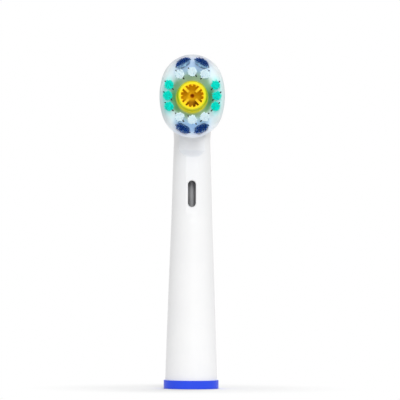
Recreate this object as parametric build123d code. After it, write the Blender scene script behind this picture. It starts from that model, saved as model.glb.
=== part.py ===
from build123d import *
import math
import os

# Oscillating electric toothbrush head, in millimetres.
# The origin is the centre of the base, +Z runs up the neck and the bristles face -Y.

# Whole head
HEAD_LENGTH = 77.1
PLATE_WIDTH = 15.1
PLATE_HEIGHT = 19.2
PIVOT_HEIGHT = HEAD_LENGTH - PLATE_HEIGHT / 2

# Outer form of the neck
RING_HEIGHT = 1.9
RING_RADIUS = 6.35
SPIGOT_RADIUS = 5.5
BASE_RADIUS = 6.0
BELLY_RADIUS = 5.42
BELLY_HEIGHT = 20.0
NECK_BOW = 0.1
NECK_SLICES = 6
WAIST_FOOT = 38.0
WAIST_FOOT_RADIUS = 4.76
WAIST_TOP = 57.0
WAIST_TOP_RADIUS = 4.22
HEAD_RADIUS = 5.2
HEAD_BACK_Y = 4.0
SWELL_SLICES = 8
DOME_SLICES = 9
FIT_GAP = 0.02

# Long flat strip down the front of the neck
STRIP_DEPTH = 0.21
STRIP_BEND_HEIGHT = 41.4
STRIP_FOOT_HEIGHT = 38.4
STRIP_RUN_OUT = 0.03

# Seat behind the plate
SEAT_Y = -3.0
RAMP_TOP_HEIGHT = 55.0
RAMP_RISE = 1.4
RAMP_RUN = 1.1
RAMP_RADIUS = 0.6

# Drain slot
SLOT_WIDTH = 1.8
SLOT_LENGTH = 6.1
SLOT_HEIGHT = 45.0
SLOT_EDGE = 0.2

# Hollow inside of the neck
SOCKET_RADIUS = 4.7
SOCKET_DEPTH = 6.0
COLLAR_SEAT_RADIUS = 4.5
FLANGE_STOP_HEIGHT = 9.0
SLEEVE_ROOM_RADIUS = 3.7
SLEEVE_ROOM_TOP = 30.0
ROD_ROOM_RADIUS = 2.85
ROD_ROOM_TOP = 50.0
KEY_WIDTH = 1.6
KEY_DEPTH = 0.4
KEY_LENGTH = 5.0

# Bristle carrier
PLATE_BACK_Y = -3.3
PLATE_THICKNESS = 3.0
PLATE_FRONT_Y = PLATE_BACK_Y - PLATE_THICKNESS
PLATE_END_RADIUS = 7.2
PLATE_FRONT_EDGE = 0.6
PLATE_BACK_EDGE = 1.2
HUB_RADIUS = 3.1
HUB_BACK_Y = 1.5
TUFT_HOLE_DEPTH = 2.35
CUP_POCKET_DEPTH = 1.6
CUP_POCKET_GAP = 0.05

# Head cup, the pocket that the hub turns in
HUB_ROOM_RADIUS = 3.6
HUB_ROOM_BACK_Y = 1.9
CRANK_ROOM_HALF_WIDTH = 2.5
CRANK_ROOM_FOOT = 61.0
CRANK_ROOM_CORNER = 0.8

# Pivot pin
PIN_RADIUS = 0.9
PIN_BACK_Y = 3.7
PIN_HEAD_RADIUS = 1.5
PIN_HEAD_THICKNESS = 0.6
PIN_HEAD_GAP = 0.1
RUNNING_GAP = 0.04

# Drive: coupling sleeve, rod and crank
SHAFT_RADIUS = 2.0
SHAFT_FLAT_Y = -1.4
SHAFT_BORE_TOP = 20.5
COUPLING_FOOT = 6.6
COUPLING_STUB_RADIUS = 3.2
FLANGE_RADIUS = 4.2
FLANGE_FOOT = 7.7
FLANGE_TOP = 8.8
SLEEVE_RADIUS = 3.2
SLEEVE_TOP = 28.5
ROD_RADIUS = 1.2
ROD_FOOT = 21.5
ROD_FLAT_LENGTH = 4.5
ROD_FLAT_DEPTH = 0.3
CRANK_RADIUS = 1.99
CRANK_ARM_FOOT = 62.7
CRANK_ARM_TOP = 63.8
CRANK_ARM_RADIUS = 0.8
CRANK_PIN_RADIUS = 0.42
BALL_RADIUS = 0.75
BALL_HALF_HEIGHT = 0.5
BALL_DROP = 2.4
FORK_GAP = 0.07

# Leaf spring in the coupling
SPRING_WIDTH = 1.9
SPRING_THICKNESS = 0.2
SPRING_FOOT = 7.3
SPRING_TOP = 16.3
SPRING_BELLY = 0.25
SPRING_CHANNEL_WIDTH = 2.2
SPRING_CHANNEL_DEPTH = 0.5
SPRING_TAIL = 0.45
SPRING_NOTCH_LENGTH = 1.0

# Retaining collar
COLLAR_FOOT = 6.3
COLLAR_TOP = 7.5
COLLAR_GAP = 0.06
COLLAR_BORE_RADIUS = COUPLING_STUB_RADIUS + COLLAR_GAP

# Polishing cup
CUP_HEIGHT = 5.7
CUP_PLUG_RADIUS = 3.3
CUP_FOOT_RADIUS = 3.58
CUP_RIM_RADIUS = 3.24
CUP_MOUTH_RADIUS = 2.62
CUP_FLOOR = 1.7
CUP_HOLE_RADIUS = 0.45
CUP_HOLE_FLOOR = 0.4
CUP_FIN_TOP = 5.3
CUP_RIB_COUNT = 4
CUP_RIB_WIDTH = 0.6
CUP_RIB_TIP_RADIUS = 1.15
CUP_TOOTH_COUNT = 24
CUP_TOOTH_WIDTH = 0.4
CUP_TOOTH_TIP_RADIUS = 2.1
CUP_RIM_EDGE = 0.2

# Tufts: places on the plate from its centre, and trimmed lengths above it
STRAND_PITCH = 0.65
TUFT_CROWN = 0.25
TUFT_CLEARANCE = 0.06
TUFT_ROOT_GAP = 0.05
ROUND_RINGS = 1
OBLONG_HALF_ROWS = 1
OBLONG_HALF_COLUMNS = 2
BLUE_LENGTH = 7.8
WHITE_LENGTH = 7.0
TEAL_LENGTH = 7.3
BLUE_X = 2.13
BLUE_Z = 7.55
BLUE_TILT = 28.0
WHITE_X = 2.88
WHITE_Z = 4.9
WHITE_MIDDLE_Z = 5.5
TEAL_X = 5.32
TEAL_Z = 2.45
TEAL_MIDDLE_X = 5.64

# Tuft anchors
ANCHOR_LENGTH = 2.9
OBLONG_ANCHOR_LENGTH = 3.9
ANCHOR_HEIGHT = 1.3
ANCHOR_THICKNESS = 0.26
ANCHOR_ROOT_GAP = 0.35
ANCHOR_TURN = 45.0

# Sizes worked out from the ones above
PIVOT = (0, PIVOT_HEIGHT)
TUFT_ROOT_Y = PLATE_FRONT_Y + TUFT_HOLE_DEPTH - TUFT_ROOT_GAP
STRAND_RADIUS = STRAND_PITCH / math.sqrt(3)
ROUND_TUFT_RADIUS = ROUND_RINGS * STRAND_PITCH + STRAND_RADIUS
OBLONG_HALF_WIDTH = OBLONG_HALF_ROWS * STRAND_PITCH * math.sqrt(3) / 2 + STRAND_RADIUS
OBLONG_HALF_LENGTH = (OBLONG_HALF_COLUMNS + 0.5) * STRAND_PITCH
CUP_POCKET_RADIUS = CUP_PLUG_RADIUS + CUP_POCKET_GAP
PIN_SEAT_Y = PLATE_FRONT_Y + CUP_POCKET_DEPTH + PIN_HEAD_THICKNESS + 2 * PIN_HEAD_GAP
BEYOND = 20.0
OVERSHOOT = 1.0


def front_plane(y):
    """The upright plane at this depth, seen from the bristle side: +X right, +Z up."""
    return Plane.XZ.offset(-y)


def prism(sketch, front_y, back_y):
    """A shape drawn in front view, solid from one depth back to another."""
    return extrude(front_plane(front_y) * sketch, amount=front_y - back_y)


def turned(points):
    """A solid of revolution from a profile of radius and height about +Z."""
    profile = make_face(Polyline(*points, close=True))
    return revolve(Plane.XZ * profile, axis=Axis.Z)


def facing_front(solid, base_y):
    """Turn a solid that was made along +Z about the pivot, so that it stands out towards -Y."""
    return Pos(0, base_y, PIVOT_HEIGHT) * Rot(90, 0, 0) * solid


def waist_radius(height):
    """Radius of the tapering waist at a height."""
    share = (height - WAIST_FOOT) / (WAIST_TOP - WAIST_FOOT)
    return WAIST_FOOT_RADIUS + share * (WAIST_TOP_RADIUS - WAIST_FOOT_RADIUS)


def neck_slices():
    """Round slices of the neck below its waist: they draw in along a flat arc and bow back a little."""
    side = ThreePointArc((BASE_RADIUS, RING_HEIGHT), (BELLY_RADIUS, BELLY_HEIGHT), (WAIST_FOOT_RADIUS, WAIST_FOOT))
    slices = []
    for i in range(NECK_SLICES + 1):
        share = i / NECK_SLICES
        point = side @ share
        bow = NECK_BOW * math.sin(math.pi * share)
        slices.append(Pos(0, bow, point.Y) * Circle(point.X))
    return slices


def head_slices():
    """Round slices of the head: they swell and lean forward up to the pivot, then close in a dome."""
    slices = []
    lean = HEAD_RADIUS - HEAD_BACK_Y
    for i in range(SWELL_SLICES):
        share = i / SWELL_SLICES
        swell = (1 - math.cos(math.pi * share)) / 2
        height = WAIST_TOP + share * (PIVOT_HEIGHT - WAIST_TOP)
        radius = WAIST_TOP_RADIUS + (HEAD_RADIUS - WAIST_TOP_RADIUS) * swell
        slices.append(Pos(0, -lean * swell, height) * Circle(radius))
    dome_radius = HEAD_BACK_Y - SEAT_Y
    for i in range(DOME_SLICES):
        turn = math.pi / 2 * i / DOME_SLICES
        rise = dome_radius * math.sin(turn)
        back_y = SEAT_Y + dome_radius * math.cos(turn)
        radius = math.sqrt(HEAD_RADIUS ** 2 - max(0, rise + HEAD_RADIUS - dome_radius) ** 2)
        slices.append(Pos(0, back_y - radius, PIVOT_HEIGHT + rise) * Circle(radius))
    slices.append(Vertex(0, SEAT_Y, PIVOT_HEIGHT + dome_radius))
    return slices


def side_prism(points, rounded=()):
    """A shape drawn in side view, with depth and height, through the whole width."""
    outline = Polygon(*points, align=None)
    for corner, radius in rounded:
        vertex = outline.vertices().sort_by_distance(corner)[0]
        outline = fillet(vertex, radius)
    return extrude(Plane.YZ * outline, amount=BEYOND, both=True)


def seat_cut():
    """Room in front of the plate's seat: a flat wall that ends in a sloping foot."""
    ramp_top = (SEAT_Y, RAMP_TOP_HEIGHT)
    ramp_foot = (SEAT_Y - 2 * RAMP_RUN, RAMP_TOP_HEIGHT - 2 * RAMP_RISE)
    outer_foot = (-BEYOND, ramp_foot[1])
    outer_top = (-BEYOND, HEAD_LENGTH + BEYOND)
    inner_top = (SEAT_Y, HEAD_LENGTH + BEYOND)
    points = (ramp_top, ramp_foot, outer_foot, outer_top, inner_top)
    return side_prism(points, rounded=[(ramp_top, RAMP_RADIUS)])


def front_strip_cut():
    """The slice taken off the neck's front, which leaves a flat strip that curves out and fades below."""
    top = (STRIP_DEPTH - waist_radius(WAIST_TOP), WAIST_TOP)
    bend = (STRIP_DEPTH - waist_radius(STRIP_BEND_HEIGHT), STRIP_BEND_HEIGHT)
    foot = (-STRIP_RUN_OUT - waist_radius(STRIP_FOOT_HEIGHT), STRIP_FOOT_HEIGHT)
    slope = (bend[0] - top[0], bend[1] - top[1])
    curve = TangentArc(bend, foot, tangent=slope)
    outside = Polyline(foot, (-BEYOND, STRIP_FOOT_HEIGHT), (-BEYOND, WAIST_TOP), top, bend)
    return extrude(Plane.YZ * make_face([curve, outside]), amount=BEYOND, both=True)


def neck_hollow():
    """Everything that is round about the neck's axis inside: socket, steps, rod room and bearing."""
    bearing_radius = ROD_RADIUS + RUNNING_GAP
    return turned([
        (0, 0),
        (SOCKET_RADIUS, 0),
        (SOCKET_RADIUS, SOCKET_DEPTH),
        (COLLAR_SEAT_RADIUS, SOCKET_DEPTH),
        (COLLAR_SEAT_RADIUS, FLANGE_STOP_HEIGHT),
        (SLEEVE_ROOM_RADIUS, FLANGE_STOP_HEIGHT),
        (SLEEVE_ROOM_RADIUS, SLEEVE_ROOM_TOP),
        (ROD_ROOM_RADIUS, SLEEVE_ROOM_TOP),
        (ROD_ROOM_RADIUS, ROD_ROOM_TOP),
        (bearing_radius, ROD_ROOM_TOP),
        (bearing_radius, CRANK_ROOM_FOOT + OVERSHOOT),
        (0, CRANK_ROOM_FOOT + OVERSHOOT),
    ])


def head_pocket():
    """The keyhole pocket behind the plate: round for the hub, with a tail for the crank."""
    hub_room = Pos(PIVOT) * Circle(HUB_ROOM_RADIUS)
    tail_height = PIVOT_HEIGHT - CRANK_ROOM_FOOT
    tail = Pos(0, CRANK_ROOM_FOOT) * Rectangle(
        2 * CRANK_ROOM_HALF_WIDTH, tail_height, align=(Align.CENTER, Align.MIN)
    )
    tail = fillet(tail.vertices().group_by(Axis.Y)[0], CRANK_ROOM_CORNER)
    return prism(hub_room + tail, SEAT_Y - BEYOND, HUB_ROOM_BACK_Y)


def key_slots():
    """Two grooves in the socket that stop the head turning on the handle."""
    bar = Box(2 * (SOCKET_RADIUS + KEY_DEPTH), KEY_WIDTH, KEY_LENGTH)
    return Pos(0, 0, KEY_LENGTH / 2) * bar


def outer_neck():
    """The solid outer form, before it is hollowed: spigot, neck, head, flat strip and seat."""
    spigot = extrude(Circle(SPIGOT_RADIUS), amount=RING_HEIGHT)
    waist = Pos(0, 0, (WAIST_FOOT + WAIST_TOP) / 2) * Cone(
        WAIST_FOOT_RADIUS, WAIST_TOP_RADIUS, WAIST_TOP - WAIST_FOOT
    )
    form = spigot + loft(neck_slices(), ruled=True) + waist + loft(head_slices(), ruled=True)
    return form - front_strip_cut() - seat_cut()


def drain_slot(form):
    """Cut the slot through the front strip and bevel its rim."""
    outline = Pos(0, SLOT_HEIGHT) * SlotOverall(SLOT_LENGTH, SLOT_WIDTH, rotation=90)
    form -= prism(outline, -BEYOND, 0)
    pierced = form.faces().filter_by(lambda face: len(face.inner_wires()) == 1)
    strip = pierced.sort_by_distance((0, -BEYOND, SLOT_HEIGHT))[0]
    return chamfer(strip.inner_wires()[0].edges(), SLOT_EDGE)


def neck_housing():
    """The white moulding: spigot, waisted neck, drain slot, seat and head cup in one piece."""
    shell = drain_slot(outer_neck())
    shell = shell - neck_hollow() - head_pocket() - key_slots()
    return shell - prism(Pos(PIVOT) * Circle(PIN_RADIUS), SEAT_Y, BEYOND)


def colour_ring():
    """The blue band that is pushed over the spigot."""
    return extrude(Circle(RING_RADIUS) - Circle(SPIGOT_RADIUS + FIT_GAP), amount=RING_HEIGHT)


def pivot_pin():
    """The headed steel pin: held in the back of the head cup, with the plate turning on its shank."""
    head_front = PIN_SEAT_Y - PIN_HEAD_GAP - PIN_HEAD_THICKNESS
    head = Pos(PIVOT) * Circle(PIN_HEAD_RADIUS)
    shank = Pos(PIVOT) * Circle(PIN_RADIUS - FIT_GAP / 2)
    return prism(head, head_front, head_front + PIN_HEAD_THICKNESS) + prism(shank, head_front, PIN_BACK_Y)


def retaining_collar():
    """The ring pressed in below the coupling's flange, notched in line with the key slots."""
    height = COLLAR_TOP - COLLAR_FOOT
    ring = Circle(COLLAR_SEAT_RADIUS - FIT_GAP) - Circle(COLLAR_BORE_RADIUS)
    notch_depth = (COLLAR_SEAT_RADIUS - COLLAR_BORE_RADIUS) / 2
    for side in (-1, 1):
        ring -= Pos(side * COLLAR_SEAT_RADIUS, 0) * Rectangle(2 * notch_depth, KEY_WIDTH)
    return Pos(0, 0, COLLAR_FOOT) * extrude(ring, amount=height)


def shaft_outline(radius, flat_y):
    """A circle with one side cut flat, towards the bristle side."""
    keep = Pos(0, flat_y) * Rectangle(BEYOND, BEYOND, align=(Align.CENTER, Align.MIN))
    return Circle(radius) & keep


def spring_path():
    """Side view of the leaf: a bowed run, then a short tail that hooks into the wall."""
    back = SHAFT_FLAT_Y - SPRING_CHANNEL_DEPTH + SPRING_THICKNESS / 2 + FIT_GAP
    crest = SHAFT_FLAT_Y + SPRING_BELLY - SPRING_THICKNESS / 2
    middle = (SPRING_FOOT + SPRING_TOP) / 2
    bow = ThreePointArc((back, SPRING_FOOT), (crest, middle), (back, SPRING_TOP))
    tail = Line((back, SPRING_TOP), (back - SPRING_TAIL, SPRING_TOP + SPRING_TAIL / 2))
    return bow + tail


def coupling_spring():
    """The bowed steel leaf that presses on the flat of the handle's shaft."""
    strip = trace(spring_path(), SPRING_THICKNESS)
    return extrude(Plane.YZ * strip, amount=SPRING_WIDTH / 2, both=True)


def spring_room():
    """The channel for the leaf in the coupling's flat wall, with a notch for its tail."""
    notch_top = SPRING_TOP + SPRING_NOTCH_LENGTH / 2
    channel = Pos(0, SHAFT_FLAT_Y, COUPLING_FOOT) * Box(
        SPRING_CHANNEL_WIDTH,
        2 * SPRING_CHANNEL_DEPTH,
        notch_top - COUPLING_FOOT,
        align=(Align.CENTER, Align.CENTER, Align.MIN),
    )
    notch = Pos(0, SHAFT_FLAT_Y, notch_top) * Box(
        SPRING_CHANNEL_WIDTH,
        2 * (SPRING_CHANNEL_DEPTH + SPRING_TAIL + SPRING_THICKNESS),
        SPRING_NOTCH_LENGTH,
        align=(Align.CENTER, Align.CENTER, Align.MAX),
    )
    return channel + notch


def rod_end_outline(radius):
    """The rod's lower end, with a flat on the back so that it can't slip in the coupling."""
    return Rot(0, 0, 180) * shaft_outline(radius, -radius + ROD_FLAT_DEPTH)


def drive_coupling():
    """The sleeve that joins the handle's shaft to the rod: flange, long body and D-shaped bore."""
    sleeve = turned([
        (0, COUPLING_FOOT),
        (COUPLING_STUB_RADIUS, COUPLING_FOOT),
        (COUPLING_STUB_RADIUS, FLANGE_FOOT),
        (FLANGE_RADIUS, FLANGE_FOOT),
        (FLANGE_RADIUS, FLANGE_TOP),
        (SLEEVE_RADIUS, FLANGE_TOP),
        (SLEEVE_RADIUS, SLEEVE_TOP),
        (0, SLEEVE_TOP),
    ])
    bore = Pos(0, 0, COUPLING_FOOT) * extrude(
        shaft_outline(SHAFT_RADIUS, SHAFT_FLAT_Y), amount=SHAFT_BORE_TOP - COUPLING_FOOT
    )
    rod_socket = Pos(0, 0, ROD_FOOT) * extrude(
        rod_end_outline(ROD_RADIUS + FIT_GAP), amount=ROD_FLAT_LENGTH
    )
    rod_hole = Pos(0, 0, ROD_FOOT + ROD_FLAT_LENGTH) * extrude(
        Circle(ROD_RADIUS + FIT_GAP), amount=SLEEVE_TOP - ROD_FOOT - ROD_FLAT_LENGTH
    )
    return sleeve - bore - rod_socket - rod_hole - spring_room()


def drive_rod():
    """The steel rod: flatted foot, long shank, and a crank whose cropped ball works the hub's fork."""
    flat_end = Pos(0, 0, ROD_FOOT) * extrude(rod_end_outline(ROD_RADIUS), amount=ROD_FLAT_LENGTH)
    shank_foot = ROD_FOOT + ROD_FLAT_LENGTH
    shank = Pos(0, 0, shank_foot) * extrude(Circle(ROD_RADIUS), amount=CRANK_ARM_TOP - shank_foot)
    arm_outline = make_hull([
        *Circle(ROD_RADIUS).edges(),
        *(Pos(0, -CRANK_RADIUS) * Circle(CRANK_ARM_RADIUS)).edges(),
    ])
    arm = Pos(0, 0, CRANK_ARM_FOOT) * extrude(arm_outline, amount=CRANK_ARM_TOP - CRANK_ARM_FOOT)
    ball_height = PIVOT_HEIGHT - BALL_DROP
    crank_pin = Pos(0, -CRANK_RADIUS, CRANK_ARM_TOP) * extrude(
        Circle(CRANK_PIN_RADIUS), amount=ball_height - CRANK_ARM_TOP
    )
    ball = Sphere(BALL_RADIUS) & Box(2 * BALL_RADIUS, 2 * BALL_RADIUS, 2 * BALL_HALF_HEIGHT)
    ball = Pos(0, -CRANK_RADIUS, ball_height) * ball
    return flat_end + shank + arm + crank_pin + ball


def oval(width, height, end_radius):
    """An oval of four tangent arcs."""
    half_width = width / 2
    half_height = height / 2
    side_radius = half_width ** 2 + half_height ** 2 - 2 * half_height * end_radius
    side_radius /= 2 * (half_width - end_radius)
    end_centre = half_height - end_radius
    side_centre = half_width - side_radius
    turn = math.atan2(end_centre, -side_centre)
    join = (
        end_radius * math.cos(turn),
        end_centre + end_radius * math.sin(turn),
    )
    corners = [join, (-join[0], join[1]), (-join[0], -join[1]), (join[0], -join[1])]
    middles = [(0, half_height), (-half_width, 0), (0, -half_height), (half_width, 0)]
    arcs = []
    for i in range(4):
        arcs.append(ThreePointArc(corners[i], middles[i], corners[(i + 1) % 4]))
    return make_face(arcs)


def round_turn(x):
    """Turn of a round tuft, so that the anchors on the two sides of the plate mirror each other."""
    return ANCHOR_TURN if x > 0 else -ANCHOR_TURN


def tuft_places():
    """Name, place on the plate, trimmed length and turn of each tuft, and whether it is oblong."""
    places = []
    corners = [(-1, 1), (1, 1), (-1, -1), (1, -1)]
    for i, (side, end) in enumerate(corners, start=1):
        tilt = -side * end * BLUE_TILT
        places.append((f"blue_tuft_{i}", side * BLUE_X, end * BLUE_Z, BLUE_LENGTH, tilt, True))
    number = 0
    for end in (1, -1):
        for x, z in ((-WHITE_X, WHITE_Z), (0, WHITE_MIDDLE_Z), (WHITE_X, WHITE_Z)):
            number += 1
            places.append((f"white_tuft_{number}", x, end * z, WHITE_LENGTH, round_turn(x), False))
    number = 0
    for side in (-1, 1):
        for x, z in ((TEAL_X, TEAL_Z), (TEAL_MIDDLE_X, 0), (TEAL_X, -TEAL_Z)):
            number += 1
            places.append((f"teal_tuft_{number}", side * x, z, TEAL_LENGTH, round_turn(side), False))
    return places


def on_plate(x, z, turn):
    """Placement of a tuft that was made along +Z at its root, seen from the front."""
    return Pos(x, TUFT_ROOT_Y, PIVOT_HEIGHT + z) * Rot(90, 0, 0) * Rot(0, 0, turn)


def strand_centres(oblong):
    """Places of the filament strands in a tuft, packed like a honeycomb."""
    centres = []
    rows = OBLONG_HALF_ROWS if oblong else ROUND_RINGS
    for row in range(-rows, rows + 1):
        wide = 2 * OBLONG_HALF_COLUMNS + 1 if oblong else 2 * ROUND_RINGS + 1
        count = wide - abs(row)
        for column in range(count):
            x = (column - (count - 1) / 2) * STRAND_PITCH
            z = row * STRAND_PITCH * math.sqrt(3) / 2
            centres.append((x, z))
    return centres


def strand_outline(x, z):
    """The six-sided outline of one strand."""
    return Pos(x, z) * RegularPolygon(STRAND_RADIUS, 6, rotation=30)


def tuft(length, oblong):
    """A bundle of strands with crowned ends, folded at the root round its anchor."""
    half_length = OBLONG_HALF_LENGTH if oblong else ROUND_TUFT_RADIUS
    half_width = OBLONG_HALF_WIDTH if oblong else ROUND_TUFT_RADIUS
    root = PLATE_FRONT_Y - TUFT_ROOT_Y
    strands = []
    for x, z in strand_centres(oblong):
        drop = TUFT_CROWN * ((x / half_length) ** 2 + (z / half_width) ** 2)
        height = length - root - drop
        strands.append(extrude(strand_outline(x, z), amount=height))
    bundle = strands[0].fuse(*strands[1:])
    return bundle - anchor(oblong, FIT_GAP)


def anchor(oblong, gap=0.0, height=ANCHOR_HEIGHT):
    """The small metal plate that the filaments are folded round."""
    length = OBLONG_ANCHOR_LENGTH if oblong else ANCHOR_LENGTH
    plate = Box(
        length + 2 * gap,
        ANCHOR_THICKNESS + 2 * gap,
        height + 2 * gap,
        align=(Align.CENTER, Align.CENTER, Align.MIN),
    )
    return Pos(0, 0, ANCHOR_ROOT_GAP - gap) * plate


def tuft_hole(oblong):
    """The blind hole round the bundle of one tuft, with the two slits that its anchor cuts on its way in."""
    edges = []
    for x, z in strand_centres(oblong):
        edges.extend(strand_outline(x, z).edges())
    outline = offset(make_hull(edges), TUFT_CLEARANCE, kind=Kind.INTERSECTION)
    hole = Pos(0, 0, -TUFT_ROOT_GAP) * extrude(outline, amount=TUFT_HOLE_DEPTH + OVERSHOOT)
    return hole + anchor(oblong, FIT_GAP, TUFT_HOLE_DEPTH + OVERSHOOT)


def bristle_carrier():
    """The clear oval plate: bevelled rim, tuft holes, cup pocket, and a forked hub behind."""
    plate = prism(Pos(PIVOT) * oval(PLATE_WIDTH, PLATE_HEIGHT, PLATE_END_RADIUS), PLATE_FRONT_Y, PLATE_BACK_Y)
    plate = chamfer(plate.edges().group_by(Axis.Y)[0], PLATE_FRONT_EDGE)
    plate = chamfer(plate.edges().group_by(Axis.Y)[-1], PLATE_BACK_EDGE)
    hub = prism(Pos(PIVOT) * Circle(HUB_RADIUS), PLATE_BACK_Y, HUB_BACK_Y)
    fork_top = BALL_DROP - BALL_RADIUS - 2 * FORK_GAP
    fork = Pos(0, PIVOT_HEIGHT - fork_top) * Rectangle(
        2 * (BALL_RADIUS + FORK_GAP), BEYOND, align=(Align.CENTER, Align.MAX)
    )
    hub -= prism(fork, PLATE_BACK_Y, HUB_BACK_Y)
    carrier = plate + hub
    pocket_floor_y = PLATE_FRONT_Y + CUP_POCKET_DEPTH
    carrier -= prism(Pos(PIVOT) * Circle(CUP_POCKET_RADIUS), PLATE_FRONT_Y, pocket_floor_y)
    carrier -= prism(Pos(PIVOT) * Circle(PIN_HEAD_RADIUS + PIN_HEAD_GAP), pocket_floor_y, PIN_SEAT_Y)
    carrier -= prism(Pos(PIVOT) * Circle(PIN_RADIUS + RUNNING_GAP), PLATE_FRONT_Y, HUB_BACK_Y)
    round_hole = tuft_hole(oblong=False)
    oblong_hole = tuft_hole(oblong=True)
    holes = []
    for name, x, z, length, turn, oblong in tuft_places():
        hole = oblong_hole if oblong else round_hole
        holes.append(on_plate(x, z, turn) * hole)
    return carrier - holes


def polishing_cup():
    """The soft cup: a plug in the plate, a tapering wall, four long ribs and a ring of small teeth."""
    cup = turned([
        (0, PIN_HEAD_GAP - CUP_POCKET_DEPTH),
        (CUP_PLUG_RADIUS, PIN_HEAD_GAP - CUP_POCKET_DEPTH),
        (CUP_PLUG_RADIUS, FIT_GAP),
        (CUP_FOOT_RADIUS, FIT_GAP),
        (CUP_RIM_RADIUS, CUP_HEIGHT),
        (CUP_MOUTH_RADIUS, CUP_HEIGHT),
        (CUP_MOUTH_RADIUS, CUP_FLOOR),
        (CUP_HOLE_RADIUS, CUP_FLOOR),
        (CUP_HOLE_RADIUS, CUP_HOLE_FLOOR),
        (0, CUP_HOLE_FLOOR),
    ])
    cup = chamfer(cup.edges().group_by(Axis.Z)[-1].sort_by(SortBy.LENGTH)[-1], CUP_RIM_EDGE)
    wall_radius = (CUP_MOUTH_RADIUS + CUP_RIM_RADIUS) / 2
    fins = []
    for i in range(CUP_TOOTH_COUNT):
        is_rib = i % (CUP_TOOTH_COUNT // CUP_RIB_COUNT) == 0
        if is_rib:
            outline = Pos((CUP_RIB_TIP_RADIUS + wall_radius) / 2, 0) * Rectangle(
                wall_radius - CUP_RIB_TIP_RADIUS, CUP_RIB_WIDTH
            )
        else:
            outline = Polygon(
                (CUP_TOOTH_TIP_RADIUS, 0),
                (wall_radius, -CUP_TOOTH_WIDTH / 2),
                (wall_radius, CUP_TOOTH_WIDTH / 2),
                align=None,
            )
        turn = 45 + i * 360 / CUP_TOOTH_COUNT
        fin = extrude(outline, amount=CUP_FIN_TOP - CUP_FLOOR)
        fins.append(Pos(0, 0, CUP_FLOOR) * Rot(0, 0, turn) * fin)
    return facing_front(cup.fuse(*fins), PLATE_FRONT_Y)


def main():
    """Build every piece and write each to its own file."""
    pieces = {
        "neck_housing": neck_housing(),
        "colour_ring": colour_ring(),
        "pivot_pin": pivot_pin(),
        "retaining_collar": retaining_collar(),
        "drive_coupling": drive_coupling(),
        "coupling_spring": coupling_spring(),
        "drive_rod": drive_rod(),
        "bristle_carrier": bristle_carrier(),
        "polishing_cup": polishing_cup(),
    }
    anchors = []
    for name, x, z, length, turn, oblong in tuft_places():
        place = on_plate(x, z, turn)
        pieces[name] = place * tuft(length, oblong)
        anchors.append(place * anchor(oblong))
    pieces["tuft_anchors"] = Compound(children=anchors)
    os.makedirs("parts", exist_ok=True)
    for name, shape in pieces.items():
        export_step(shape, f"parts/{name}.step")


main()
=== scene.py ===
"""Looks of an oscillating toothbrush head: finishes, cup, filament tufts, floor, light and camera."""

import logging
import math
from dataclasses import dataclass
from enum import Enum, IntEnum
from functools import cache
from typing import Any, Union

import bmesh
import bpy
from mathutils import Matrix, Vector


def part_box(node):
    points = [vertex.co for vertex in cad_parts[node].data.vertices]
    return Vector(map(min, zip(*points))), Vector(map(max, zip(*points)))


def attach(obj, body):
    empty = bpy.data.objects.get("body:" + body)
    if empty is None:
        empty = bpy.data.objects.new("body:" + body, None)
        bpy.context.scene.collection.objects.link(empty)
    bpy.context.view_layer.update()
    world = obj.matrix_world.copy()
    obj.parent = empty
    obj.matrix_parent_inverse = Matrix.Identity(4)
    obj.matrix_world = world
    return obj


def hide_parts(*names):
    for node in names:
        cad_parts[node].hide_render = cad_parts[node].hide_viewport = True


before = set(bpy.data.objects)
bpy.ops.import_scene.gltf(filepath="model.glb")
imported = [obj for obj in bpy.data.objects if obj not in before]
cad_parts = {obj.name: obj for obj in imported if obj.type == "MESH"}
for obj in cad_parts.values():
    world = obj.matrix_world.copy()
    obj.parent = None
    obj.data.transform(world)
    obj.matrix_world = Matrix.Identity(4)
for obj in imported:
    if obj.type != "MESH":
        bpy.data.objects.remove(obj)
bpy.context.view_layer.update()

MM = 0.001
PIVOT_HEIGHT = sum(corner.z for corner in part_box("polishing_cup")) / 2 / MM
PLATE_FRONT_Y = -6.3
ROW_SHARE = math.sin(math.radians(60))
FACING_FRONT = Matrix.Rotation(math.radians(90), 4, "X")
LOG = logging.getLogger("brush_head")

Piece = bpy.types.Object
Material = bpy.types.Material
Socket = bpy.types.NodeSocket
Settings = dict[str, Any] | None
Sockets = dict[str | int, Any] | None
Number = Union["Value", float]
Pair = tuple[float, float]
Triple = tuple[float, float, float]
Colour = Triple
# A span is the value where a pattern is 0, then the value where it is full. Lengths are in millimetres,
# and names that end in up, out and across count from the pivot.
Span = Pair

BLACK: Colour = (0.0, 0.0, 0.0)
WHITE: Colour = (1.0, 1.0, 1.0)


def srgb(red: int, green: int, blue: int) -> Colour:
    """Turn a colour as seen on a screen into the linear one that a shader takes, by the sRGB curve.

    Args:
        red: Red, from 0 to 255.
        green: Green, from 0 to 255.
        blue: Blue, from 0 to 255.

    Returns:
        The linear colour.
    """
    linear = []
    for part in (red, green, blue):
        share = part / 255
        linear.append(share / 12.92 if share <= 0.04045 else ((share + 0.055) / 1.055) ** 2.4)
    return (linear[0], linear[1], linear[2])


def add_object(name: str, data: Any) -> Piece:
    """Put a new object in the scene.

    Args:
        name: Its name.
        data: Its mesh, lamp or camera.

    Returns:
        The object.
    """
    piece = bpy.data.objects.new(name, data)
    bpy.context.scene.collection.objects.link(piece)
    return piece


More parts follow.
